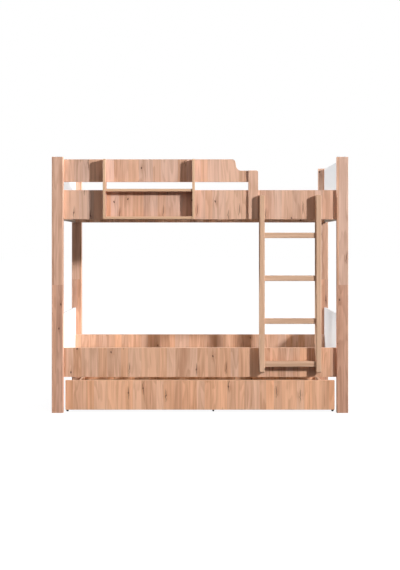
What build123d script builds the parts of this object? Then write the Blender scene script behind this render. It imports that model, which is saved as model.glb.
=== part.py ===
from build123d import *
import math
import os

# Bunk bed with a trundle, built board by board, in millimetres.
# The floor is z = 0 and +X runs along the bed. The wall is on the +Y side, so the ladder,
# the shelf and the trundle's front face -Y. The origin is on the floor, under the middle
# of the whole outline.

# Mattresses and the room round them
mattress_length = 1900
mattress_width = 900
length_play = 20
width_play = 2

# Stock
board = 18
edge_break = 1.0

# Posts, each made of two stacked halves
post_width = 80
post_thick = 36
post_half = 898
post_ease = 3

# Bed rails and end panels
rail_height = 206
lower_rail_z = 247
upper_rail_z = 1359
panel_inset = 15
lower_panel_height = 423
upper_panel_drop = 6

# Guard board with its stepped top, and the short upright board at its open end
guard_gap = 57
guard_height = 160
entry_width = 551
step_from_end = 162.6
step_drop = 80
step_slope = 80
step_round = 24
step_hollow = 36
guard_post_width = 69
guard_post_round = 12

# Open shelf hung on the guard side
shelf_from_post = 284
shelf_width = 640
shelf_depth = 88
shelf_round = 20
shelf_top_drop = 4
shelf_board_lift = 4
shelf_board_set_back = 8

# Ladder
ladder_gap = 6
ladder_width = 430
stile_width = 36
stile_depth = 80
stile_bottom_z = 285
stile_top_z = 1527
stile_round = 15
rung_count = 4
rung_pitch = 300
lowest_rung_z = 326
rung_height = 38
rung_depth = 38
hand_ease = 3

# Slatted bases of the two beds
ledger_lift = 45
ledger_height = 30
ledger_depth = 25
ledger_end_gap = 10
slat_count = 15
slat_width = 70
slat_thick = 18
slat_play = 1
slat_ease = 3

# Trundle
trundle_side_gap = 13
trundle_set_back = 22
trundle_rear_gap = 6
trundle_front_z = 19
trundle_front_height = 207
trundle_wall_top = 120
trundle_middle_x = 94
trundle_ledger_top = 72
trundle_slat_count = 7
trundle_slat_width = 80

# Castors let into the lower corners of the trundle's three cross boards
wheel_diameter = 40
wheel_width = 12
wheel_side_play = 0.4
wheel_ribs = 5
rib_width = 2
hub_flat = 6.5
rim_flat = 13.5
pocket_depth = 3
wheel_head_room = 6.5
axle_diameter = 6
axle_clearance = 0.05
axle_square = 4.2
square_play = 0.1
bracket_plate = 1.5
bracket_length = 50
bracket_foot = 30
bracket_nose = 8
castor_room = 2

# Steel hangers that hook each rail end to its post
hanger_width = 24
hanger_height = 140
hanger_plate = 3
hook_width = 12
hook_height = 24
hook_neck = 14
hook_lip = 3
hook_spread = 80
hook_play = 0.3
hook_room = 2

# Joints cut in the wood
groove_depth = 8
tongue_play = 0.2
post_tenon_width = 40
post_tenon_thick = 12
post_tenon_depth = 40
rung_tenon = 22
rung_tenon_length = 16
tenon_end_play = 1
housing_depth = 4

# Bolts that hold the ladder to both rails
bolt_diameter = 8
bolt_head_flats = 13
bolt_head = 5.5
bolt_bite = 38
bolt_lift = 133
bolt_clearance = 0.3

# Sizes worked out from the ones above
clear_length = mattress_length + length_play
clear_width = mattress_width + width_play
bed_length = clear_length + 2 * post_width
bed_depth = clear_width + 2 * board + 2 * post_thick
bed_height = 2 * post_half
front_reach = max(shelf_depth, stile_depth, post_thick) - post_thick

# Planes across the depth, from the front to the wall
front_y = (front_reach - bed_depth) / 2
rail_face_y = front_y + post_thick
rail_back_y = rail_face_y + board
rear_rail_front_y = rail_back_y + clear_width
rear_rail_face_y = rear_rail_front_y + board

# Planes along the length, measured from the middle
post_inner_x = clear_length / 2
panel_outer_x = bed_length / 2 - panel_inset
panel_inner_x = panel_outer_x - board
hanger_x = (post_inner_x + panel_inner_x) / 2
post_centre_x = post_inner_x + post_width / 2
guard_end_x = post_inner_x - entry_width
step_x = guard_end_x - step_from_end
ladder_centre_x = guard_end_x + ladder_gap + ladder_width / 2
shelf_left_x = shelf_from_post - post_inner_x

# Heights
upper_rail_top = upper_rail_z + rail_height
guard_z = upper_rail_top + guard_gap
guard_top = guard_z + guard_height
guard_low_top = guard_top - step_drop

# Both ends, both levels and both rows of boards, by name
ends = {"left": -1, "right": 1}
rail_z = {"lower": lower_rail_z, "upper": upper_rail_z}
panel_z = {
    "lower": (lower_rail_z, lower_rail_z + lower_panel_height),
    "upper": (upper_rail_z, bed_height - upper_panel_drop),
}
post_z = {"lower": (0, post_half), "upper": (post_half, bed_height)}

# The face where a rail lies against its posts, and the way from there into the posts
lap_y = {"front": rail_face_y, "rear": rear_rail_face_y}
into_post = {"front": -1, "rear": 1}

# Every separate piece by name: one solid, or a list of solids that are alike
nodes = {}


def block(x0, x1, y0, y1, z0, z1):
    """A plain block between two opposite corners."""
    middle = Pos((x0 + x1) / 2, (y0 + y1) / 2, (z0 + z1) / 2)
    return middle * Box(x1 - x0, y1 - y0, z1 - z0)


def slab(x0, x1, face_y, depth, z0, z1):
    """A block from a face at face_y to a signed depth along Y."""
    y0, y1 = sorted((face_y, face_y + depth))
    return block(x0, x1, y0, y1, z0, z1)


def soften(piece):
    """Take the sharpness off every edge, as edge banding does."""
    return chamfer(piece.edges(), edge_break)


def panel(x0, x1, y0, y1, z0, z1):
    """A board with its edges broken."""
    return soften(block(x0, x1, y0, y1, z0, z1))


def outline(points):
    """A flat face with straight sides through its corners."""
    return make_face(Polyline(*points, close=True))


def round_corner(face, x, y, radius):
    """Round the corner of a flat face that lies at x, y."""
    corner = face.vertices().sort_by_distance((x, y, 0))[0]
    return fillet(corner, radius)


def front_board(face, y, thickness):
    """Give thickness to a face drawn as seen from the front, x across and z up."""
    return extrude(Plane.XZ.offset(-y) * face, amount=thickness, dir=(0, 1, 0))


def side_board(face, x, thickness):
    """Give thickness to a face drawn as seen from the right end, y across and z up."""
    return extrude(Plane.YZ.offset(x) * face, amount=thickness, dir=(1, 0, 0))


def aim(piece, point, direction):
    """Carry a piece that was made along +Z from the origin to a point and a direction."""
    return Plane(origin=point, z_dir=direction).location * piece


def rod(diameter, length):
    """A round rod along +Z from the origin."""
    return Cylinder(diameter / 2, length, align=(Align.CENTER, Align.CENTER, Align.MIN))


def drill(piece, places, direction, diameter, depth):
    """Drill the same round hole into a piece from each place along one direction."""
    tools = [aim(rod(diameter, depth), place, direction) for place in places]
    return piece - tools


def hex_bolt(length):
    """A hexagon bolt with its seat at the origin and its shank along +Z."""
    hexagon = RegularPolygon(bolt_head_flats / 2, 6, major_radius=False)
    head = extrude(Pos(0, 0, -bolt_head) * hexagon, amount=bolt_head)
    return head + rod(bolt_diameter, length)


def place_all(piece, places, direction):
    """Copies of one piece at each place, all pointing the same way."""
    return [aim(piece, place, direction) for place in places]


def spread(first, last, count):
    """Evenly spaced positions from the first to the last."""
    step = (last - first) / (count - 1)
    return [first + step * index for index in range(count)]


# Steel hangers: each rail end hooks onto its post
def hanger_seat(sign, row, level, depth):
    """A block the size of a hanger plate, from the lap face to a signed depth."""
    x = sign * hanger_x
    half = hanger_width / 2
    centre = rail_z[level] + rail_height / 2
    reach = hanger_height / 2
    return slab(x - half, x + half, lap_y[row], depth, centre - reach, centre + reach)


def hook_bottoms(level):
    """Heights at which the two hooks of a hanger rest."""
    middle = rail_z[level] + rail_height / 2
    return [middle + shift - hook_height / 2 for shift in (-hook_spread / 2, hook_spread / 2)]


def hook_pocket(sign, row, z):
    """The pocket that one hook hangs in, with room to lift the rail off."""
    x = sign * hanger_x
    half = hook_width / 2
    depth = into_post[row] * (hanger_plate + hook_play + hook_lip + hook_room)
    return slab(x - half, x + half, lap_y[row], depth, z - hook_room, z + hook_height + hook_room)


def hook_plate(sign, row, level):
    """The rail's plate, let in flush, with two hooks that drop behind the post's plate."""
    x = sign * hanger_x
    face = lap_y[row]
    inward = into_post[row]
    piece = hanger_seat(sign, row, level, -inward * hanger_plate)
    half = hook_width / 2 - hook_play
    reach = hanger_plate + hook_play
    for z in hook_bottoms(level):
        top = z + hook_height
        neck = slab(x - half, x + half, face, inward * (reach + hook_lip), top - hook_neck, top)
        lip = slab(x - half, x + half, face + inward * reach, inward * hook_lip, z, top)
        piece += neck + lip
    return piece


def slot_plate(sign, row, level):
    """The post's plate, let in flush, with a slot for each hook that ends under its neck."""
    x = sign * hanger_x
    half = hook_width / 2
    depth = into_post[row] * hanger_plate
    piece = hanger_seat(sign, row, level, depth)
    for z in hook_bottoms(level):
        neck_z = z + hook_height - hook_neck
        top = z + hook_height + hook_room
        piece -= slab(x - half, x + half, lap_y[row], depth, neck_z, top)
    return piece


corners = [(sign, row, level) for sign in ends.values() for row in lap_y for level in rail_z]
nodes["rail_hook_plates"] = [hook_plate(*corner) for corner in corners]
nodes["post_slot_plates"] = [slot_plate(*corner) for corner in corners]


# Posts: two stacked halves joined by a loose tenon
def tenon_block(sign, row, play, end_play):
    """The loose tenon across a post's joint or, with play, the mortise that holds it."""
    x = sign * post_centre_x
    half = post_tenon_width / 2 + play
    thick = post_tenon_thick + 2 * play
    near = lap_y[row] + into_post[row] * (post_thick - thick) / 2
    reach = post_tenon_depth + end_play
    return slab(x - half, x + half, near, into_post[row] * thick, post_half - reach, post_half + reach)


def panel_groove(sign, row, level):
    """The groove that the edge of an end panel stands in."""
    x = sign * (panel_inner_x + board / 2)
    half = board / 2 + tongue_play
    return slab(x - half, x + half, lap_y[row], into_post[row] * groove_depth, *panel_z[level])


def post(sign, row, level):
    """One half of a post, cut for its panel, its hanger and its tenon."""
    x = sign * post_centre_x
    half = post_width / 2
    inward = into_post[row]
    piece = slab(x - half, x + half, lap_y[row], inward * post_thick, *post_z[level])
    piece = chamfer(piece.edges().filter_by(Axis.Z), post_ease)
    piece -= panel_groove(sign, row, level)
    piece -= hanger_seat(sign, row, level, inward * hanger_plate)
    for z in hook_bottoms(level):
        piece -= hook_pocket(sign, row, z)
    return piece - tenon_block(sign, row, tongue_play, tenon_end_play)


for side, sign in ends.items():
    for row in lap_y:
        for level in post_z:
            nodes[f"post_{row}_{side}_{level}"] = post(sign, row, level)
nodes["post_tenons"] = [tenon_block(sign, row, 0, 0) for sign in ends.values() for row in lap_y]

# Rails
stile_centres = [
    ladder_centre_x + sign * (ladder_width - stile_width) / 2
    for sign in (-1, 1)
]
bolt_z = {level: z + bolt_lift for level, z in rail_z.items()}
bolt_hole = bolt_diameter + 2 * bolt_clearance


def rail(level, row):
    """A bed rail between the end panels, with a seat for a hanger plate at each end."""
    z0 = rail_z[level]
    y0, y1 = sorted((lap_y[row], lap_y[row] - into_post[row] * board))
    piece = panel(-panel_inner_x, panel_inner_x, y0, y1, z0, z0 + rail_height)
    for sign in ends.values():
        piece -= hanger_seat(sign, row, level, -into_post[row] * hanger_plate)
    return piece


for level in rail_z:
    for row in lap_y:
        nodes[f"rail_{level}_{row}"] = rail(level, row)
    holes = [(x, rail_face_y, bolt_z[level]) for x in stile_centres]
    front = f"rail_{level}_front"
    nodes[front] = drill(nodes[front], holes, (0, 1, 0), bolt_hole, board)


# White end panels, let into a groove in each post
def end_panel(sign, level):
    """An end panel whose front and rear edges stand in the posts' grooves."""
    x0 = panel_inner_x if sign > 0 else -panel_outer_x
    y0 = rail_face_y - groove_depth
    y1 = rear_rail_face_y + groove_depth
    return panel(x0, x0 + board, y0, y1, *panel_z[level])


for side, sign in ends.items():
    for level in panel_z:
        nodes[f"end_panel_{level}_{side}"] = end_panel(sign, level)


# Guard board: high over the pillow, then an S-shaped step down to the ladder
def guard_board():
    """The guard board, whose step leans by the given slope between two round corners."""
    foot_x = step_x + step_drop / math.tan(math.radians(step_slope))
    face = outline([
        (-panel_inner_x, guard_z),
        (guard_end_x, guard_z),
        (guard_end_x, guard_low_top),
        (foot_x, guard_low_top),
        (step_x, guard_top),
        (-panel_inner_x, guard_top),
    ])
    face = round_corner(face, step_x, guard_top, step_round)
    face = round_corner(face, foot_x, guard_low_top, step_hollow)
    face = round_corner(face, guard_end_x, guard_low_top, guard_post_round)
    return soften(front_board(face, rail_face_y, board))


def guard_post():
    """The upright board that closes the guard at the ladder, one corner rounded."""
    x0 = guard_end_x - guard_post_width
    face = outline([
        (x0, upper_rail_z),
        (guard_end_x, upper_rail_z),
        (guard_end_x, guard_low_top),
        (x0, guard_low_top),
    ])
    face = round_corner(face, guard_end_x, guard_low_top, guard_post_round)
    return soften(front_board(face, rail_face_y - board, board))


nodes["guard_board"] = guard_board()
nodes["guard_post"] = guard_post()

# Shelf: two sides on the face of the rail and the guard, and two boards between them
shelf_outer = (shelf_left_x, shelf_left_x + shelf_width)
shelf_front_y = rail_face_y - shelf_depth
shelf_top = guard_top - shelf_top_drop


def shelf_side(x0):
    """A shelf side with its upper front corner well rounded."""
    corners = [
        (shelf_front_y, upper_rail_z),
        (rail_face_y, upper_rail_z),
        (rail_face_y, shelf_top),
        (shelf_front_y, shelf_top),
    ]
    face = round_corner(outline(corners), shelf_front_y, shelf_top, shelf_round)
    return soften(side_board(face, x0, board))


def shelf_board(z0):
    """A board between the shelf sides, standing back a little from their front edges."""
    x0 = shelf_outer[0] + board
    x1 = shelf_outer[1] - board
    y0 = shelf_front_y + shelf_board_set_back
    return panel(x0, x1, y0, rail_face_y, z0, z0 + board)


nodes["shelf_side_left"] = shelf_side(shelf_outer[0])
nodes["shelf_side_right"] = shelf_side(shelf_outer[1] - board)
nodes["shelf_middle_board"] = shelf_board(upper_rail_top - board + shelf_board_lift)
nodes["shelf_bottom_board"] = shelf_board(upper_rail_z)

# Ladder
stile_front_y = rail_face_y - stile_depth
stile_middle_y = rail_face_y - stile_depth / 2
rung_heights = [lowest_rung_z + rung_pitch * index for index in range(rung_count)]


def stile(x):
    """A ladder stile: rounded front corners, softened edges, a mortise for each rung."""
    corners = [
        (stile_front_y, stile_bottom_z),
        (rail_face_y, stile_bottom_z),
        (rail_face_y, stile_top_z),
        (stile_front_y, stile_top_z),
    ]
    face = outline(corners)
    face = round_corner(face, stile_front_y, stile_top_z, stile_round)
    face = round_corner(face, stile_front_y, stile_bottom_z, stile_round)
    piece = side_board(face, x - stile_width / 2, stile_width)
    piece = chamfer(piece.edges(), hand_ease)
    holes = [(x, rail_face_y, z) for z in bolt_z.values()]
    piece = drill(piece, holes, (0, -1, 0), bolt_hole, bolt_bite + tenon_end_play)
    toward = 1 if x < ladder_centre_x else -1
    face_x = x + toward * stile_width / 2
    x0, x1 = sorted((face_x, face_x - toward * (rung_tenon_length + tenon_end_play)))
    half = rung_tenon / 2 + tongue_play
    for z in rung_heights:
        z += rung_height / 2
        piece -= block(x0, x1, stile_middle_y - half, stile_middle_y + half, z - half, z + half)
    return piece


def rung(z0):
    """A rung with softened long edges and a square tenon at each end."""
    x0 = stile_centres[0] + stile_width / 2
    x1 = stile_centres[1] - stile_width / 2
    half = rung_depth / 2
    piece = block(x0, x1, stile_middle_y - half, stile_middle_y + half, z0, z0 + rung_height)
    piece = chamfer(piece.edges().filter_by(Axis.X), hand_ease)
    middle = z0 + rung_height / 2
    half = rung_tenon / 2
    tenon = block(
        x0 - rung_tenon_length, x1 + rung_tenon_length,
        stile_middle_y - half, stile_middle_y + half,
        middle - half, middle + half,
    )
    return piece + tenon


nodes["ladder_stile_left"] = stile(stile_centres[0])
nodes["ladder_stile_right"] = stile(stile_centres[1])
for number, height in enumerate(rung_heights, start=1):
    nodes[f"ladder_rung_{number}"] = rung(height)

# Bolts through both front rails into the stiles, put in from inside the bed
bolt_places = [(x, rail_back_y, z) for x in stile_centres for z in bolt_z.values()]
nodes["ladder_bolts"] = place_all(hex_bolt(board + bolt_bite), bolt_places, (0, -1, 0))


# Ledgers on the inner faces of the rails, with slats lying across them
ledger_half = post_inner_x - ledger_end_gap
slat_seat = ledger_lift + ledger_height


def ledger(level, row):
    """A ledger along the inner face of a rail."""
    y0 = rail_back_y if row == "front" else rear_rail_front_y - ledger_depth
    z0 = rail_z[level] + ledger_lift
    return panel(-ledger_half, ledger_half, y0, y0 + ledger_depth, z0, z0 + ledger_height)


def slats(z0):
    """Slats from rail to rail, spread evenly along the ledgers, their upper edges eased."""
    y0 = rail_back_y + slat_play
    y1 = rear_rail_front_y - slat_play
    reach = ledger_half - slat_width / 2
    one = block(-slat_width / 2, slat_width / 2, y0, y1, z0, z0 + slat_thick)
    top = one.faces().sort_by(Axis.Z)[-1]
    one = chamfer(top.edges().filter_by(Axis.Y), slat_ease)
    return [Pos(x, 0, 0) * one for x in spread(-reach, reach, slat_count)]


for level in rail_z:
    for row in lap_y:
        nodes[f"ledger_{level}_{row}"] = ledger(level, row)
    nodes[f"slats_{level}"] = slats(rail_z[level] + slat_seat)

# Trundle: planes and heights
trundle_outer_x = post_inner_x - trundle_side_gap
trundle_inner_x = trundle_outer_x - board
trundle_face_y = front_y + trundle_set_back
trundle_bay_front = trundle_face_y + board
trundle_back_y = rear_rail_face_y - trundle_rear_gap
trundle_bay_rear = trundle_back_y - board
castor_plate_z = wheel_diameter + wheel_head_room
castor_seat_z = castor_plate_z + bracket_plate
castor_cut = bracket_length + castor_room
castor_y = {
    "front": trundle_bay_front + castor_cut / 2,
    "rear": trundle_bay_rear - castor_cut / 2,
}
cross_boards = {
    "left": (-trundle_outer_x, trundle_wall_top),
    "middle": (trundle_middle_x - board / 2, trundle_ledger_top),
    "right": (trundle_inner_x, trundle_wall_top),
}


def cross_board(name):
    """A board from front to back, its lower corners cut away for the castors."""
    x0, top = cross_boards[name]
    y0 = trundle_bay_front - housing_depth
    y1 = trundle_bay_rear + housing_depth
    face = outline([
        (y0, castor_seat_z),
        (trundle_bay_front + castor_cut, castor_seat_z),
        (trundle_bay_front + castor_cut, trundle_front_z),
        (trundle_bay_rear - castor_cut, trundle_front_z),
        (trundle_bay_rear - castor_cut, castor_seat_z),
        (y1, castor_seat_z),
        (y1, top),
        (y0, top),
    ])
    return soften(side_board(face, x0, board))


def housed(piece, face_y, depth):
    """Cut a shallow housing for the end of each cross board into a face."""
    for x0, top in cross_boards.values():
        side = tongue_play
        piece -= slab(x0 - side, x0 + board + side, face_y, depth, castor_seat_z, top + side)
    return piece


trundle_top = trundle_front_z + trundle_front_height
trundle_front = panel(
    -trundle_outer_x, trundle_outer_x,
    trundle_face_y, trundle_bay_front,
    trundle_front_z, trundle_top,
)
trundle_back = panel(
    -trundle_outer_x, trundle_outer_x,
    trundle_bay_rear, trundle_back_y,
    trundle_front_z, trundle_wall_top,
)
nodes["trundle_front"] = housed(trundle_front, trundle_bay_front, -housing_depth)
nodes["trundle_back"] = housed(trundle_back, trundle_bay_rear, housing_depth)
nodes["trundle_side_left"] = cross_board("left")
nodes["trundle_side_right"] = cross_board("right")
nodes["trundle_middle_board"] = cross_board("middle")

# Ledgers inside the trundle's sides, and slats that run the length of the trundle
trundle_ledger_y = (trundle_bay_front + castor_cut, trundle_bay_rear - castor_cut)
trundle_ledger_z = trundle_ledger_top - ledger_height
for side, sign in ends.items():
    x0, x1 = sorted((sign * (trundle_inner_x - ledger_depth), sign * trundle_inner_x))
    ledger_board = panel(x0, x1, *trundle_ledger_y, trundle_ledger_z, trundle_ledger_top)
    nodes[f"trundle_ledger_{side}"] = ledger_board
slat_reach = trundle_inner_x - slat_play
first_slat = trundle_bay_front + slat_play + trundle_slat_width / 2
last_slat = trundle_bay_rear - slat_play - trundle_slat_width / 2
long_slat = block(
    -slat_reach, slat_reach,
    -trundle_slat_width / 2, trundle_slat_width / 2,
    trundle_ledger_top, trundle_ledger_top + slat_thick,
)
long_slat = chamfer(long_slat.faces().sort_by(Axis.Z)[-1].edges().filter_by(Axis.X), slat_ease)
nodes["trundle_slats"] = [
    Pos(0, y, 0) * long_slat for y in spread(first_slat, last_slat, trundle_slat_count)
]

# Castors: a bent bracket, a pin and a ribbed wheel under each corner cut
wheel_radius = wheel_diameter / 2
inside_width = wheel_width + 2 * wheel_side_play
outside_width = inside_width + 2 * bracket_plate


def bracket():
    """A U-shaped bracket: a plate over the wheel and two cheeks that narrow to the axle."""
    half = outside_width / 2
    long = bracket_length / 2
    plate = block(-half, half, -long, long, castor_plate_z, castor_seat_z)
    foot = bracket_foot / 2
    nose = bracket_nose / 2
    cheek = outline([
        (-foot, castor_plate_z),
        (-bracket_nose, wheel_radius),
        (-nose, wheel_radius - bracket_nose),
        (nose, wheel_radius - bracket_nose),
        (bracket_nose, wheel_radius),
        (foot, castor_plate_z),
    ])
    square = axle_square + 2 * square_play
    cheek -= Pos(0, wheel_radius) * Rectangle(square, square)
    left = side_board(cheek, -half, bracket_plate)
    right = side_board(cheek, inside_width / 2, bracket_plate)
    return plate + left + right


def axle():
    """A round pin between the cheeks, with squared ends that keep it from turning in them."""
    squared = Pos(0, 0, wheel_radius) * Box(outside_width, axle_square, axle_square)
    turned = aim(rod(axle_diameter, inside_width), (-inside_width / 2, 0, wheel_radius), (1, 0, 0))
    return squared + turned


def wheel_pocket():
    """A pocket between two ribs, with straight walls, as deep as given from z = 0 down."""
    turn = math.radians(180 / wheel_ribs)

    def half_width(radius):
        return radius * math.tan(turn) - rib_width / 2 / math.cos(turn)

    face = outline([
        (hub_flat, -half_width(hub_flat)),
        (rim_flat, -half_width(rim_flat)),
        (rim_flat, half_width(rim_flat)),
        (hub_flat, half_width(hub_flat)),
    ])
    return extrude(face, amount=-pocket_depth)


def wheel():
    """A hard wheel that turns on its pin, its sides lightened by pockets between ribs."""
    disc = rod(wheel_diameter, wheel_width) - rod(axle_diameter + 2 * axle_clearance, wheel_width)
    one = wheel_pocket()
    for index in range(wheel_ribs):
        turned = Rot(0, 0, 360 / wheel_ribs * index) * one
        disc -= Pos(0, 0, wheel_width) * turned
        disc -= Pos(0, 0, pocket_depth) * turned
    return aim(disc, (-wheel_width / 2, 0, wheel_radius), (1, 0, 0))


castor_spots = {
    f"{row}_{name}": Pos(x0 + board / 2, y, 0)
    for row, y in castor_y.items()
    for name, (x0, top) in cross_boards.items()
}
nodes["castor_brackets"] = [spot * bracket() for spot in castor_spots.values()]
nodes["castor_axles"] = [spot * axle() for spot in castor_spots.values()]
for name, spot in castor_spots.items():
    nodes[f"wheel_{name}"] = spot * wheel()

os.makedirs("parts", exist_ok=True)
for name, piece in nodes.items():
    solids = piece if isinstance(piece, list) else [piece]
    shape = solids[0] if len(solids) == 1 else Compound(children=solids)
    export_step(shape, f"parts/{name}.step")
print(f"{len(nodes)} nodes, {bed_length} x {bed_depth + front_reach} x {bed_height} mm")
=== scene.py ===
# %% [markdown]
# # A bunk bed with a trundle
# This lesson dresses a finished furniture model for a picture. The solid boards, posts, slats
# and castors come from a CAD model and stay exactly where they are. Blender adds what CAD
# leaves out: the printed oak surface, the edge strips, the small screws, the light and the
# camera. Every length is in metres, the floor is z = 0 and the bed's front faces -Y.

# %% Load the CAD frame
import math

import bpy
import numpy as np
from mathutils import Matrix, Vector


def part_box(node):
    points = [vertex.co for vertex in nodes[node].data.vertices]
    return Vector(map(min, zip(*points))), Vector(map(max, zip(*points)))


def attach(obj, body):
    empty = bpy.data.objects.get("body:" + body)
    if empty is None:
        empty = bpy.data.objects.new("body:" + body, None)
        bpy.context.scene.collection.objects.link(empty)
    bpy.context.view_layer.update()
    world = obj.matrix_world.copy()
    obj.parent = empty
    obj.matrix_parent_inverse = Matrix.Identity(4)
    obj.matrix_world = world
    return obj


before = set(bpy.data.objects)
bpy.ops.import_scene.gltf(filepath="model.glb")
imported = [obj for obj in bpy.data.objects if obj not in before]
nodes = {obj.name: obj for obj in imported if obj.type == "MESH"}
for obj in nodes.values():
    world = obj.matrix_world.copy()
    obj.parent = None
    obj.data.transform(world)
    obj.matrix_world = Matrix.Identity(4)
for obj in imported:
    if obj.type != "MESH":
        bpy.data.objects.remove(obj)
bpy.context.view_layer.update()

# %% [markdown]
# ## Camera
# The picture was taken level, from about 6.7 m in front of the bed's middle and 1.18 m up.
# With a level camera all uprights stay parallel. The horizon lies above the middle of the
# picture, which a real camera does by shifting its lens, so the camera here is shifted too
# instead of tilted.

# %% Camera
camera_height = 1.1845
camera_distance = 6.683
lens_mm = 55.9
sensor_mm = 36.0
horizon_shift = -0.0719

camera_data = bpy.data.cameras.new("camera")
camera_data.lens = lens_mm
camera_data.sensor_width = sensor_mm
camera_data.shift_y = horizon_shift
camera = bpy.data.objects.new("camera", camera_data)
camera.location = (0.0, -camera_distance, camera_height)
camera.rotation_euler = (math.pi / 2, 0.0, 0.0)
bpy.context.scene.collection.objects.link(camera)
bpy.context.scene.camera = camera
bpy.context.scene.view_settings.view_transform = "Standard"
print("camera at", tuple(camera.location))

# %% [markdown]
# ## Light
# The shadows in the picture say where the main lamp stood. The shelf's left side throws a shadow
# 103 mm wide and the right post one of 24 mm, so the lamp was near, on the right. The upper rail
# leaves the rear left post dark down to 1.04 m, which gives the lamp's height. A real lamp that
# near would light the right end twice as strongly as the left. In the picture both ends are
# almost equally bright, so here the lamp's falloff is switched off and it is aimed past the
# bed's left end, because a flat lamp is brightest straight ahead.


# %% Main lamp
def near_lamp(name, place, aim, side, strength, tint):
    """A square lamp of one side length, turned to shine at a point, with no loss over distance."""
    data = bpy.data.lights.new(name, "AREA")
    data.shape = "SQUARE"
    data.size = side
    data.energy = 1.0
    data.color = tint
    data.use_nodes = True
    tree = data.node_tree
    falloff = tree.nodes.new("ShaderNodeLightFalloff")
    falloff.inputs["Strength"].default_value = strength
    tree.links.new(falloff.outputs["Constant"], tree.nodes["Emission"].inputs["Strength"])
    lamp = bpy.data.objects.new(name, data)
    lamp.location = place
    lamp.rotation_euler = (Vector(aim) - Vector(place)).to_track_quat("-Z", "Y").to_euler()
    bpy.context.scene.collection.objects.link(lamp)
    print(name, "at", place)


near_lamp(
    "main_lamp", place=(3.23, -3.78, 2.51), aim=(-6.5, -1.6, 1.5),
    side=0.3, strength=11.9, tint=(1.0, 0.99, 0.975),
)

# %% [markdown]
# Close under the ladder's rungs the shadows fade over several centimetres, which a small lamp
# can't do. So a wide soft lamp hangs in front above the bed. From there it fills the shadows on
# the front faces, while the upper bed still keeps it from the rear boards.

# %% Wide soft lamp
near_lamp(
    "soft_lamp", place=(-0.3, -3.2, 3.4), aim=(0.0, -0.44, 0.9),
    side=3.0, strength=1.6, tint=(1.0, 0.94, 0.9),
)

# %% [markdown]
# The white end panels are almost as bright as the background, on both their sides. Lamps at
# the left and the right, level with the bed, reach them without touching the front faces. One
# more from behind keeps the back of the bed from going dark when the bed is seen from there.


# %% Side and back lamps
def distant_lamp(name, toward, strength, width_degrees, tint):
    """A lamp so far away that its rays are parallel; toward points from the bed to the lamp."""
    data = bpy.data.lights.new(name, "SUN")
    data.color = tint
    data.energy = strength
    data.angle = math.radians(width_degrees)
    lamp = bpy.data.objects.new(name, data)
    lamp.rotation_euler = Vector(toward).to_track_quat("Z", "Y").to_euler()
    bpy.context.scene.collection.objects.link(lamp)
    print(name, "toward", toward)


cool_white = (0.86, 0.94, 1.0)
distant_lamp("left_lamp", (-1.0, 0.16, 0.3), strength=2.45, width_degrees=8.0, tint=cool_white)
distant_lamp("right_lamp", (1.0, 0.16, 0.3), strength=2.45, width_degrees=8.0, tint=cool_white)
distant_lamp("back_lamp", (0.3, 1.0, 0.7), strength=0.6, width_degrees=30.0, tint=(1.0, 1.0, 1.0))


# %% [markdown]
# The background is pure white, but shadows on the wood are deep and warm. So the room looks
# white to the camera while it gives the bed only a little warm light.


# %% The white room
def white_room(given):
    """A world that looks white to the camera and gives the bed the light of another colour."""
    world = bpy.data.worlds.new("room")
    world.use_nodes = True
    tree = world.node_tree
    tree.nodes.clear()
    lit = tree.nodes.new("ShaderNodeBackground")
    lit.inputs["Color"].default_value = (*given, 1.0)
    shown = tree.nodes.new("ShaderNodeBackground")
    shown.inputs["Color"].default_value = (1.0, 1.0, 1.0, 1.0)
    path = tree.nodes.new("ShaderNodeLightPath")
    mix = tree.nodes.new("ShaderNodeMixShader")
    out = tree.nodes.new("ShaderNodeOutputWorld")
    tree.links.new(path.outputs["Is Camera Ray"], mix.inputs["Fac"])
    tree.links.new(lit.outputs[0], mix.inputs[1])
    tree.links.new(shown.outputs[0], mix.inputs[2])
    tree.links.new(mix.outputs[0], out.inputs["Surface"])
    bpy.context.scene.world = world
    print("the room gives", given)


white_room((0.16, 0.14, 0.13))

# %% [markdown]
# ## Node helpers
# Materials here are drawn with formulas instead of pictures, so they stay sharp at any size.
# Each formula is a web of small nodes. These helpers add a node and connect it in one line,
# which keeps the recipes below readable.


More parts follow.
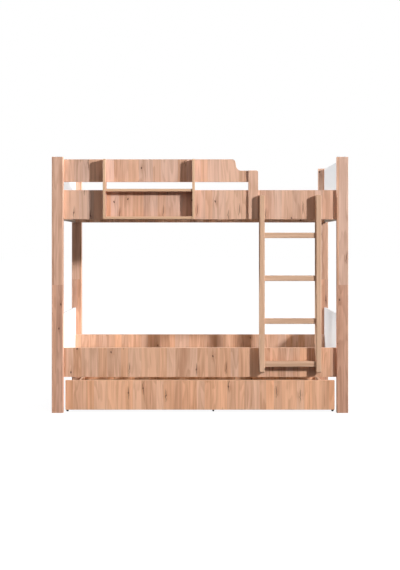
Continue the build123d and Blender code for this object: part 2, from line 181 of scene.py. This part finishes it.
# %% Short ways to add nodes
class Web:
    """A node tree with short ways to add and connect nodes."""

    def __init__(self, tree):
        self.tree = tree

    def link(self, value, socket):
        """Feeds one node's output into another's input."""
        self.tree.links.new(value, socket)

    def add(self, kind, inputs=None, **settings):
        """Adds a node, sets its settings, and feeds its inputs with numbers or other outputs."""
        made = self.tree.nodes.new(kind)
        for name, value in settings.items():
            setattr(made, name, value)
        for name, value in (inputs or {}).items():
            if isinstance(value, bpy.types.NodeSocket):
                self.link(value, made.inputs[name])
            else:
                made.inputs[name].default_value = value
        return made

    def math(self, operation, first, second=0.0, clamp=False):
        """One sum on numbers, such as ADD, MULTIPLY or FRACT."""
        inputs = {0: first, 1: second}
        return self.add("ShaderNodeMath", inputs, operation=operation, use_clamp=clamp).outputs[0]

    def rest(self, share):
        """What a share leaves of 1."""
        return self.math("SUBTRACT", 1.0, share)

    def vector(self, x, y, z=0.0):
        """Three numbers as one vector."""
        return self.add("ShaderNodeCombineXYZ", {0: x, 1: y, 2: z}).outputs[0]

    def split(self, vector):
        """The three numbers of a vector."""
        return self.add("ShaderNodeSeparateXYZ", {0: vector}).outputs

    def stretch(self, vector, scale):
        """A place with each of its three numbers multiplied by its own scale."""
        return self.add("ShaderNodeMapping", {"Vector": vector, "Scale": scale}).outputs[0]

    def noise(self, vector, detail=2.0, roughness=0.5, distortion=0.0):
        """Cloudy noise between 0 and 1, centred near a half."""
        inputs = {
            "Vector": vector, "Scale": 1.0,
            "Detail": detail, "Roughness": roughness, "Distortion": distortion,
        }
        return self.add("ShaderNodeTexNoise", inputs).outputs["Fac"]

    def between(self, value, low, high):
        """0 below low, 1 above high, and a smooth step between."""
        inputs = {"Value": value, "From Min": low, "From Max": high}
        node = self.add("ShaderNodeMapRange", inputs, interpolation_type="SMOOTHSTEP")
        return node.outputs["Result"]

    def mix(self, share, first, second, blend="MIX"):
        """A colour between two others."""
        factor, first_colour, second_colour, mixed_colour = 0, 6, 7, 2
        inputs = {factor: share, first_colour: first, second_colour: second}
        node = self.add("ShaderNodeMix", inputs, data_type="RGBA", blend_type=blend)
        return node.outputs[mixed_colour]


# %% [markdown]
# A node group is a recipe that many materials share: it is built once and placed in each with
# other values. A material starts out empty here, so that nothing is left over from a default.
# Colours are written as they look on a screen, because that is how they are read off a picture,
# and are turned into the linear numbers that a renderer adds up.


# %% Groups, materials and colours
def new_group(name, inputs, outputs):
    """An empty node group with named number inputs and outputs."""
    group = bpy.data.node_groups.new(name, "ShaderNodeTree")
    for label, value in inputs.items():
        socket = group.interface.new_socket(label, in_out="INPUT", socket_type="NodeSocketFloat")
        socket.default_value = value
    for label in outputs:
        group.interface.new_socket(label, in_out="OUTPUT", socket_type="NodeSocketFloat")
    web = Web(group)
    return group, web, web.add("NodeGroupInput").outputs, web.add("NodeGroupOutput").inputs


def new_material(name):
    """An empty node material and the web of its nodes."""
    material = bpy.data.materials.new(name)
    material.use_nodes = True
    material.node_tree.nodes.clear()
    return material, Web(material.node_tree)


def finish_surface(web, tint, roughness, height, strength, depth, metal=0.0):
    """Ends a material: tint and roughness go to the shader, height through a bump of one depth."""
    relief = {"Strength": strength, "Distance": depth, "Height": height}
    bump = web.add("ShaderNodeBump", relief).outputs[0]
    look = {"Base Color": tint, "Roughness": roughness, "Metallic": metal, "Normal": bump}
    shader = web.add("ShaderNodeBsdfPrincipled", look)
    web.add("ShaderNodeOutputMaterial", {"Surface": shader.outputs[0]})


def colour(red, green, blue):
    """A screen colour of 0 to 255 as the linear colour that a renderer works with."""
    screen = np.array([red, green, blue]) / 255.0
    linear = np.where(screen <= 0.04045, screen / 12.92, ((screen + 0.055) / 1.055) ** 2.4)
    return (*linear.tolist(), 1.0)


def shade(tone, factor):
    """A colour made paler or deeper by one factor."""
    return tuple(min(1.0, v * factor) for v in tone[:3]) + (1.0,)


# %% [markdown]
# ## The oak print
# The boards are chipboard with a printed oak sheet pressed on. The print shows narrow staves
# glued side by side, each with its own tone, wavy growth lines, and now and then a knot or a
# crack. Scanned wood would be one way to get this. Three small formulas are used instead:
# staves, growth lines, and knots with cracks. Every board mixes them with its own values.
#
# The staves come first. Points are scattered along the width of a board, and every place takes
# the tone of its nearest point. That gives strips of uneven width, as sorted wood has.


# %% Staves
def make_staves():
    """Cells along one line: the nearest of many scattered points says which stave this is."""
    seam_share, shift_reach = 0.03, 40.0
    group, web, given, result = new_group(
        "oak_staves", {"Across": 0.0, "Width": 0.07, "Seed": 0.0},
        ["Tone", "Blush", "Seam", "Shift"],
    )
    place = web.math("ADD", web.math("DIVIDE", given["Across"], given["Width"]), given["Seed"])
    points = {"W": place, "Scale": 1.0, "Randomness": 0.8}
    cell = web.add("ShaderNodeTexVoronoi", points, voronoi_dimensions="1D").outputs["Color"]
    tone = web.add("ShaderNodeSeparateColor", {0: cell}).outputs
    edge = web.add(
        "ShaderNodeTexVoronoi", points, voronoi_dimensions="1D", feature="DISTANCE_TO_EDGE"
    ).outputs["Distance"]
    web.link(tone[0], result["Tone"])
    web.link(tone[1], result["Blush"])
    web.link(web.rest(web.between(edge, 0.0, seam_share)), result["Seam"])
    web.link(web.math("MULTIPLY", tone[2], shift_reach), result["Shift"])
    return group


# %% [markdown]
# Growth lines in a sawn board are arches and long waves. They look like the height lines on the
# map of a long, narrow hill, and they can be made like that: a cloud stretched along the grain is
# cut at even heights. Each line rises slowly and drops at once, as late wood ends. Three more
# clouds, stretched less or more, give the fibres, the streaks and the broad patches.


# %% Growth lines
def make_growth_lines():
    """Height lines of a stretched cloud give arches; thinner clouds give fibres and streaks."""
    group, web, given, result = new_group(
        "oak_growth", {"Across": 0.0, "Along": 0.0, "Shift": 0.0, "Lines": 5.0},
        ["Rings", "Fibre", "Streak", "Patch"],
    )

    def cloud(across_scale, along_scale, detail, roughness=0.5, distortion=0.0):
        """Noise with so many cells a metre across the grain and along it."""
        across = web.math("MULTIPLY", given["Across"], across_scale)
        along = web.math("MULTIPLY", given["Along"], along_scale)
        return web.noise(web.vector(across, along, given["Shift"]), detail, roughness, distortion)

    hills = cloud(13.0, 1.5, 2.0, roughness=0.45, distortion=0.25)
    height = web.math("FRACT", web.math("MULTIPLY", hills, given["Lines"]))
    slow_rise, quick_drop = web.between(height, 0.0, 0.75), web.between(height, 0.86, 1.0)
    web.link(web.math("MULTIPLY", slow_rise, web.rest(quick_drop)), result["Rings"])

    fine = web.math("MULTIPLY", cloud(850.0, 9.0, 2.0, roughness=0.6), 0.5)
    coarse = web.math("MULTIPLY", cloud(170.0, 2.5, 2.0, roughness=0.6), 0.5)
    web.link(web.math("ADD", fine, coarse), result["Fibre"])
    web.link(cloud(60.0, 1.1, 4.0, roughness=0.75, distortion=0.2), result["Streak"])
    web.link(cloud(7.0, 2.2, 1.0), result["Patch"])
    return group


# %% [markdown]
# Knots and cracks are rare and small. The board is cut into uneven cells, and each cell draws
# lots for a knot, a crack or neither. A knot is an oval round the cell's point. A crack is a line
# through it that wavers and tapers to both ends. Round either, the wood is darker and the growth
# lines bend out of the way, which the halo output says.


# %% Knots and cracks
def make_knots():
    """One knot or crack at most in each cell: an oval spot, or a thin wavering line that tapers."""
    across_scale, along_scale = 7.0, 5.5
    waver_scale, waver_width = 22.0, 0.03
    crack_half_length, crack_half_width = 0.05, 0.0036
    group, web, given, result = new_group(
        "oak_knots", {"Across": 0.0, "Along": 0.0, "Seed": 0.0, "Amount": 0.4}, ["Dark", "Halo"]
    )
    place = web.vector(
        web.math("ADD", web.math("MULTIPLY", given["Across"], across_scale), given["Seed"]),
        web.math("MULTIPLY", given["Along"], along_scale),
    )
    cell_inputs = {"Vector": place, "Scale": 1.0}
    cell = web.add("ShaderNodeTexVoronoi", cell_inputs, voronoi_dimensions="2D").outputs
    from_point = {0: place, 1: cell["Position"]}
    gap = web.split(web.add("ShaderNodeVectorMath", from_point, operation="SUBTRACT").outputs[0])
    side = web.math("DIVIDE", gap[0], across_scale)
    rise = web.math("DIVIDE", gap[1], along_scale)

    chance = web.add("ShaderNodeSeparateColor", {0: cell["Color"]}).outputs
    limit = web.rest(given["Amount"])
    has_knot = web.math("GREATER_THAN", chance[0], limit)
    has_crack = web.math("GREATER_THAN", chance[1], limit)

    waver = web.noise(web.vector(web.math("MULTIPLY", given["Along"], waver_scale), given["Seed"]))
    swing = web.math("MULTIPLY", web.math("SUBTRACT", waver, 0.5), waver_width)
    bent = web.math("ADD", side, swing)
    reach = web.math("DIVIDE", rise, crack_half_length)
    taper = web.math("SUBTRACT", 1.0, web.math("MULTIPLY", reach, reach), clamp=True)
    wide = web.math("MULTIPLY", taper, crack_half_width)
    off_line = web.math("ABSOLUTE", bent)
    inside = web.math("LESS_THAN", off_line, wide)
    soft_line = web.rest(web.between(off_line, 0.0, web.math("ADD", wide, 0.0001)))
    crack = web.math("MULTIPLY", web.math("MULTIPLY", soft_line, inside), has_crack)

    def oval(half_side, half_rise):
        """0 at the point and 1 on an oval round it: the root of two squares added."""
        a, b = web.math("DIVIDE", bent, half_side), web.math("DIVIDE", rise, half_rise)
        squares = web.math("ADD", web.math("MULTIPLY", a, a), web.math("MULTIPLY", b, b))
        return web.math("SQRT", squares)

    spot = web.rest(web.between(oval(0.0065, 0.011), 0.45, 1.0))
    web.link(web.math("MAXIMUM", crack, web.math("MULTIPLY", spot, has_knot)), result["Dark"])
    near = web.rest(web.between(oval(0.03, 0.06), 0.0, 1.0))
    web.link(web.math("MULTIPLY", near, web.math("MAXIMUM", has_knot, has_crack)), result["Halo"])
    return group


staves, growth_lines, knots = make_staves(), make_growth_lines(), make_knots()
print("print formulas:", [group.name for group in (staves, growth_lines, knots)])

# %% [markdown]
# ## Board finish
# A board is one shader: the oak print on both wide faces, and a plain paler strip of edging on
# the narrow ones. The direction that a face looks in tells the two apart, so the CAD mesh needs
# no extra cuts. Tiny dents along the growth lines catch the light, as pressed sheets do.


# %% Which way a board lies
def board_ways(web, facing, along_axis):
    """The distance across the grain and along it, and whether a face belongs to the rim."""
    axes = "XYZ"
    coordinates = web.add("ShaderNodeTexCoord").outputs
    place = web.split(coordinates["Object"])
    along_number = axes.index(along_axis)
    first, second = (place[number] for number in range(3) if number != along_number)
    looks = web.split(coordinates["Normal"])[axes.index(facing)]
    rim = web.math("LESS_THAN", web.math("ABSOLUTE", looks), 0.9)
    return web.math("ADD", first, second), place[along_number], rim


# %% [markdown]
# The recipe adds up how deep the wood's tone is at a place: each stave's own tone, the growth
# lines, the fibres, the streaks, the broad patches and the halo of a knot, each with its weight.
# Then every stave turns a little warmer or cooler, the glued seams get a faint line, and knots
# and cracks go on top in dark brown.

# %% Weights of the print
tone_weight, ring_weight, halo_weight = 0.5, 0.36, 0.3
cloud_weights = {"Fibre": 1.1, "Streak": 1.7, "Patch": 0.8}
warmer, cooler = (1.05, 0.97, 0.89, 1.0), (0.96, 1.01, 1.10, 1.0)
seam_weight, mark_weight = 0.3, 0.9
halo_bend = 0.008
knot_brown = colour(84, 50, 36)
print("cloud weights:", cloud_weights)


# %% Oak board
def oak_board(
    name, wood_pair, seed, width=0.055, facing="Y", along="Z", knot_share=0.4, band=None, lines=7.0
):
    """A satin oak print: wood_pair is its pale and deep colour, facing its wide faces' way."""
    pale, deep = wood_pair
    material, web = new_material(name)
    across, along_way, rim = board_ways(web, facing, along)

    place = {"Across": across, "Along": along_way, "Seed": seed, "Amount": knot_share}
    marks = web.add("ShaderNodeGroup", place, node_tree=knots).outputs
    place = {"Across": across, "Width": width, "Seed": seed}
    stave = web.add("ShaderNodeGroup", place, node_tree=staves).outputs
    place = {
        "Across": web.math("ADD", across, web.math("MULTIPLY", marks["Halo"], halo_bend)),
        "Along": along_way, "Lines": lines, "Shift": web.math("ADD", stave["Shift"], seed),
    }
    growth = web.add("ShaderNodeGroup", place, node_tree=growth_lines).outputs

    depth = web.math("MULTIPLY", stave["Tone"], tone_weight)
    depth = web.math("ADD", depth, web.math("MULTIPLY", web.rest(growth["Rings"]), ring_weight))
    for cloud, weight in cloud_weights.items():
        part = web.math("MULTIPLY", web.math("SUBTRACT", growth[cloud], 0.5), weight)
        depth = web.math("ADD", depth, part)
    depth = web.math("ADD", depth, web.math("MULTIPLY", marks["Halo"], halo_weight), clamp=True)
    wood = web.mix(depth, pale, deep)
    wood = web.mix(1.0, wood, web.mix(stave["Blush"], warmer, cooler), "MULTIPLY")
    wood = web.mix(web.math("MULTIPLY", stave["Seam"], seam_weight), wood, deep)
    wood = web.mix(web.math("MULTIPLY", marks["Dark"], mark_weight), wood, knot_brown)

    band_pale = band or shade(pale, 1.12)
    wood = web.mix(rim, wood, web.mix(growth["Fibre"], band_pale, shade(band_pale, 0.86)))

    roughness = web.math("ADD", 0.42, web.math("MULTIPLY", growth["Fibre"], 0.18))
    height = web.math("SUBTRACT", web.math("MULTIPLY", growth["Rings"], 0.4), marks["Dark"])
    height = web.math("ADD", height, web.math("MULTIPLY", growth["Fibre"], 0.6))
    finish_surface(web, wood, roughness, height, strength=0.35, depth=0.0004)
    return material


# %% [markdown]
# ## Plain finishes
# The rest of the bed is simpler: white pressed board, pale solid wood for the ladder and the
# slats, zinc-plated steel and black plastic. None of them is one flat colour in real life, so
# each gets a little cloudiness in its colour, its roughness and its surface.


# %% Plain finish with fine cloudiness
def plain_finish(
    name, base, rough, metal=0.0, speckle=0.04, grain=(400.0, 400.0, 400.0), dent=0.0002
):
    """A plain surface: noise stretched by grain varies its brightness, roughness and height."""
    material, web = new_material(name)
    place = web.add("ShaderNodeTexCoord").outputs["Object"]
    fine = web.noise(web.stretch(place, grain), 3.0, 0.6)
    broad = web.noise(web.stretch(place, (3.0, 3.0, 3.0)))
    share = web.math("ADD", web.math("MULTIPLY", fine, 0.6), web.math("MULTIPLY", broad, 0.4))
    dim, bright = shade(base, 1.0 - speckle), shade(base, 1.0 + speckle)
    tint = web.mix(web.between(share, 0.3, 0.7), dim, bright)
    roughness = web.math("ADD", rough - 0.06, web.math("MULTIPLY", fine, 0.12))
    finish_surface(web, tint, roughness, fine, strength=0.3, depth=dent, metal=metal)
    return material


# %% [markdown]
# The ladder and the slats are sawn from clear solid wood. It shows no staves and no knots, only
# long straight bands and fibres, so two clouds are enough, both drawn out along the grain.


# %% Solid wood
def along_grain(axis, lengthwise, crosswise):
    """Scales for the three axes: one along the grain, another for both ways across it."""
    return tuple(lengthwise if letter == axis else crosswise for letter in "XYZ")


def solid_wood(name, pale, deep, along, seed, rough=0.5):
    """Clear straight-grained wood: long fibres and faint growth lines, with no staves."""
    material, web = new_material(name)
    place = {0: web.add("ShaderNodeTexCoord").outputs["Object"], 1: (seed, seed, seed)}
    shifted = web.add("ShaderNodeVectorMath", place, operation="ADD").outputs[0]
    bands = web.noise(web.stretch(shifted, along_grain(along, 2.0, 60.0)))
    fibre = web.noise(web.stretch(shifted, along_grain(along, 8.0, 700.0)), 3.0)
    share = web.math("ADD", web.math("MULTIPLY", bands, 0.7), web.math("MULTIPLY", fibre, 0.5))
    wood = web.mix(web.between(share, 0.35, 0.85), pale, deep)
    roughness = web.math("ADD", rough - 0.08, web.math("MULTIPLY", fibre, 0.16))
    finish_surface(web, wood, roughness, fibre, strength=0.3, depth=0.0003)
    return material


# %% [markdown]
# ## Dressing the boards
# Each board gets its own copy of the oak print, because boards cut from different sheets never
# match. The upper parts are a little pinker, the trundle is warmer and paler, and the lower
# halves of the posts are darker than the upper halves, so the joint shows as a step in colour.

# %% Colours of the prints
rose = colour(226, 187, 163), colour(186, 144, 119)
guard_rose = colour(230, 191, 168), colour(189, 148, 123)
shelf_rose = colour(228, 184, 160), colour(188, 142, 117)
warm = colour(232, 188, 158), colour(192, 143, 112)
rear_warm = colour(223, 182, 156), colour(184, 139, 111)
trundle_warm = colour(246, 197, 163), colour(204, 150, 116)
post_upper = colour(228, 186, 160), colour(187, 141, 115)
post_lower = colour(221, 174, 148), colour(180, 133, 109)
strip_pale = colour(226, 186, 152)
print("rose, pale and deep:", [round(v, 2) for tone in rose for v in tone[:3]])


# %% Ways to dress a node
dressed = set()


def dress(node, material):
    """Give a CAD node one material on all its faces."""
    slots = nodes[node].data.materials
    slots.clear()
    slots.append(material)
    dressed.add(node)


def dress_board(node, wood_pair, seed, **settings):
    """Give a CAD board its own copy of the oak print."""
    dress(node, oak_board(f"oak_{node}", wood_pair, seed, **settings))


# %% [markdown]
# A post is two halves, one on the other. Its print has narrower staves than the wide boards, and
# fewer knots, since a builder picks clear pieces where the eye rests.

# %% Posts
post_stave = 0.036
for number, row in enumerate(("front", "rear")):
    for place, side in enumerate(("left", "right")):
        seed = 3.7 * number + 11.3 * place
        post = f"post_{row}_{side}"
        dress_board(f"{post}_upper", post_upper, 1.7 + seed, width=post_stave, knot_share=0.12)
        dress_board(f"{post}_lower", post_lower, 5.1 + seed, width=post_stave, knot_share=0.3)
print("post halves dressed:", len(dressed))

# %% [markdown]
# On rails, guard and trundle front the staves stand upright, across the board's length, as the
# picture shows. The shelf's boards have their grain along them and a paler strip in front.

# %% Rails, guard and shelf
dress_board("rail_upper_front", rose, 2.3)
dress_board("rail_upper_rear", rose, 7.9)
dress_board("rail_lower_front", warm, 13.1)
dress_board("rail_lower_rear", rear_warm, 21.7)
dress("guard_board", oak_board("oak_guard", guard_rose, 2.9))
dress_board("guard_post", guard_rose, 31.0, knot_share=0.0)
for node, seed in (("shelf_side_left", 4.0), ("shelf_side_right", 8.0)):
    dress_board(node, shelf_rose, seed, facing="X", band=strip_pale)
for node, seed in (("shelf_middle_board", 5.5), ("shelf_bottom_board", 9.5)):
    dress_board(node, shelf_rose, seed, facing="Z", along="X", band=strip_pale)

# %% Trundle boards
dress_board("trundle_front", trundle_warm, 17.7)
dress_board("trundle_back", trundle_warm, 27.7)
cross_boards = ("trundle_side_left", "trundle_middle_board", "trundle_side_right")
for node, seed in zip(cross_boards, (1.0, 2.0, 3.0)):
    dress_board(node, trundle_warm, seed, facing="X", along="Y")
print("oak boards dressed:", len(dressed))

# %% [markdown]
# What isn't oak print has one finish for all pieces of a kind. A piece of solid wood takes the
# finish whose grain runs along it. The bed's slats and the trundle's ledgers lie across the bed,
# the bed's ledgers and the trundle's slats run along it.

# %% Everything that isn't oak print
white_finish = plain_finish("white_board", colour(247, 247, 248), 0.45, speckle=0.012, dent=0.00015)
steel_finish = plain_finish(
    "zinc_steel", colour(190, 192, 196), 0.35, metal=1.0, speckle=0.12, grain=(60.0, 60.0, 900.0)
)
black_finish = plain_finish("black_plastic", colour(24, 24, 25), 0.5, speckle=0.2, dent=0.0001)
slat_wood = colour(222, 192, 152), colour(190, 154, 112)
slat_finish = solid_wood("slat_wood_across", *slat_wood, "Y", 3.0, 0.6)
long_slat_finish = solid_wood("slat_wood_along", *slat_wood, "X", 5.0, 0.6)
tenon_finish = solid_wood("tenon_wood", colour(225, 196, 158), colour(198, 162, 122), "Z", 7.0, 0.6)
stile_wood = colour(230, 191, 161), colour(202, 161, 131)
rung_wood = colour(226, 190, 162), colour(200, 159, 130)
stile_finish = solid_wood("ladder_wood_upright", *stile_wood, "Z", 1.0)
rung_finish = solid_wood("ladder_wood_level", *rung_wood, "X", 2.0)

finishes = {
    "end_panel": white_finish, "ladder_stile": stile_finish, "ladder_rung": rung_finish,
    "slats": slat_finish, "trundle_ledger": slat_finish,
    "ledger": long_slat_finish, "trundle_slats": long_slat_finish,
    "post_tenons": tenon_finish, "rail_hook_plates": steel_finish, "post_slot_plates": steel_finish,
    "ladder_bolts": steel_finish, "castor": steel_finish, "wheel": black_finish,
}
for start, finish in finishes.items():
    for node in nodes:
        if node.startswith(start):
            dress(node, finish)
print("nodes dressed:", len(dressed), "of", len(nodes))

# %% [markdown]
# ## Turned pieces
# A screw head is a turned shape: an outline in half section, carried round an axis. A modeller
# could use the Screw modifier. Working the grid out with numpy is as short, and it places
# hundreds of screws in one mesh without copying objects. The castor wheels have their ribs and
# pockets in the CAD model already, so they only get their black plastic.


# %% Carry an outline round an axis
def turned_grid(outline, count):
    """Point (a, r) of the outline at angle t becomes (a, r cos t, r sin t), for all t at once."""
    along, radius = np.array(outline).T
    turn = np.arange(count) * 2.0 * np.pi / count
    x = np.broadcast_to(along, (count, len(along)))
    y = np.cos(turn)[:, None] * radius
    z = np.sin(turn)[:, None] * radius
    return np.stack([x, y, z], axis=-1)


def ring_faces(rows, columns):
    """Four-sided faces between neighbours on a grid that closes on itself both ways."""
    row, column = np.arange(rows)[:, None], np.arange(columns)[None, :]
    up, right = (row + 1) % rows, (column + 1) % columns
    corners = [
        row * columns + column, row * columns + right,
        up * columns + right, up * columns + column,
    ]
    return np.stack(corners, axis=-1).reshape(-1, 4)


def make_piece(name, points, faces, material, body):
    """A smooth mesh object in its final place, with its finish, riding on a CAD body."""
    mesh = bpy.data.meshes.new(name)
    mesh.from_pydata(points.tolist(), [], faces.tolist())
    mesh.materials.append(material)
    mesh.polygons.foreach_set("use_smooth", [True] * len(mesh.polygons))
    mesh.validate()
    piece = bpy.data.objects.new(name, mesh)
    bpy.context.scene.collection.objects.link(piece)
    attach(piece, body)


# %% [markdown]
# ## Screws
# Real slats are screwed down at both ends and the ledgers are screwed to the rails. Nobody
# models a thread that can't be seen, so each screw is only its round head with a hollow in the
# middle, a few dozen faces, standing a hair above the wood.

# %% Screw head
head_sides = 12
head_outline = np.array([
    (0.00035, 0.0011), (0.00045, 0.0030), (0.0002, 0.0038), (-0.0006, 0.0040), (-0.0006, 0.0001),
    (-0.0005, 0.0001), (-0.0005, 0.0009),
])
axis_turns = {
    "+Z": np.array([[0, 0, 1], [0, 1, 0], [-1, 0, 0]]),
    "+Y": np.array([[0, 1, 0], [-1, 0, 0], [0, 0, 1]]),
    "-Y": np.array([[0, -1, 0], [1, 0, 0], [0, 0, 1]]),
    "-Z": np.array([[0, 0, -1], [0, 1, 0], [1, 0, 0]]),
}
print("screw head:", 2000 * head_outline[:, 1].max(), "mm across")


def screw_heads(name, places, direction, body, scale=1.0):
    """All screws of one kind in one mesh: the turned head, aimed and repeated at every place."""
    head = turned_grid(head_outline * scale, head_sides)
    aimed = head.reshape(-1, 3) @ axis_turns[direction]
    points = (aimed[None] + np.array(places)[:, None]).reshape(-1, 3)
    starts = np.arange(len(places)) * len(aimed)
    faces = (ring_faces(head_sides, len(head_outline))[None] + starts[:, None, None]).reshape(-1, 4)
    make_piece(name, points, faces, steel_finish, body)
    print(name, len(places), "screws")


# %% Where slats and ledgers are screwed
slat_count, slat_width = 15, 0.070
slat_screw_step = 0.018
ledger_screw_count, ledger_end = 8, 0.06


def middle(node):
    """The middle of a CAD node's box."""
    low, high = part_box(node)
    return (low + high) / 2


def slat_spots(level):
    """Two screws at each end of every slat, above the ledgers."""
    low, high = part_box(f"slats_{level}")
    centres = np.linspace(low.x + slat_width / 2, high.x - slat_width / 2, slat_count)
    across = (centres[:, None] + np.array([-slat_screw_step, slat_screw_step])).ravel()
    rows = [middle(f"ledger_{level}_{row}").y for row in ("front", "rear")]
    return [(x, y, high.z) for y in rows for x in across]


def ledger_spots(level, row):
    """A screw every quarter metre along a ledger's inner face."""
    node = f"ledger_{level}_{row}"
    low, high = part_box(node)
    inner = high.y if row == "front" else low.y
    along = np.linspace(low.x + ledger_end, high.x - ledger_end, ledger_screw_count)
    return [(x, inner, middle(node).z) for x in along]


for level in ("lower", "upper"):
    screw_heads(f"slat_screws_{level}", slat_spots(level), "+Z", "bed")
    screw_heads(f"ledger_screws_{level}_front", ledger_spots(level, "front"), "+Y", "bed")
    screw_heads(f"ledger_screws_{level}_rear", ledger_spots(level, "rear"), "-Y", "bed")

# %% [markdown]
# Each castor bracket is held by two screws driven up into the cross board. The shelf and the
# guard's post are screwed on from behind, through the guard and the rail, so nothing shows in
# front. Those screws are a size larger than the others.

# %% Screws of the castors
bracket_plate = 0.0015
bracket_screw_step = 0.02
plate_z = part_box("castor_brackets")[1].z - bracket_plate
wheels = [middle(node) for node in nodes if node.startswith("wheel")]
castor_spots = [
    (wheel.x, wheel.y + step, plate_z)
    for wheel in wheels for step in (-bracket_screw_step, bracket_screw_step)
]
screw_heads("castor_screws", castor_spots, "-Z", "trundle")

# %% Screws of the shelf and the guard
large_head = 1.3
post_screw_step = 0.02
guard_heights, post_heights, rail_heights = (1.64, 1.74), (1.60, 1.67), (1.475, 1.535)

guard_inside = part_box("guard_board")[1].y
post_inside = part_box("guard_post")[1].y
rail_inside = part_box("rail_upper_front")[1].y
shelf_x = [middle(node).x for node in ("shelf_side_left", "shelf_side_right")]
post_x = middle("guard_post").x
post_row = (post_x - post_screw_step, post_x + post_screw_step)
behind = [(x, guard_inside, z) for x in shelf_x for z in guard_heights]
behind += [(x, post_inside, z) for x in post_row for z in post_heights]
behind += [(x, rail_inside, z) for x in shelf_x + [post_x] for z in rail_heights]
screw_heads("guard_and_shelf_screws", behind, "+Y", "bed", large_head)

# %% [markdown]
# ## Floor
# The picture has a pure white ground, yet no light comes up from it into the dark gap above the
# trundle. So the floor looks white to the camera through a faint glow, and gives the bed only a
# little light back.


# %% Floor
def white_floor(half_side, glow):
    """A wide flat plane with a matt finish and a white glow that only the camera sees."""
    corners = half_side * np.array([(-1, -1, 0), (1, -1, 0), (1, 1, 0), (-1, 1, 0)], float)
    mesh = bpy.data.meshes.new("floor")
    mesh.from_pydata(corners.tolist(), [], [(0, 1, 2, 3)])
    material, web = new_material("floor_white")
    cloud = web.noise(web.add("ShaderNodeTexCoord").outputs["Object"])
    tint = web.mix(cloud, (0.11, 0.11, 0.11, 1.0), (0.14, 0.14, 0.14, 1.0))
    matt = web.add("ShaderNodeBsdfDiffuse", {"Color": tint}).outputs[0]
    white = {"Color": (1.0, 1.0, 1.0, 1.0), "Strength": glow}
    light = web.add("ShaderNodeEmission", white).outputs[0]
    both = web.add("ShaderNodeAddShader", {0: matt, 1: light}).outputs[0]
    ray = web.add("ShaderNodeLightPath").outputs["Is Camera Ray"]
    seen = web.add("ShaderNodeMixShader", {0: ray, 1: matt, 2: both}).outputs[0]
    web.add("ShaderNodeOutputMaterial", {"Surface": seen})
    mesh.materials.append(material)
    floor = bpy.data.objects.new("floor", mesh)
    bpy.context.scene.collection.objects.link(floor)
    print("floor reaches", half_side, "m each way")


white_floor(half_side=60.0, glow=0.93)
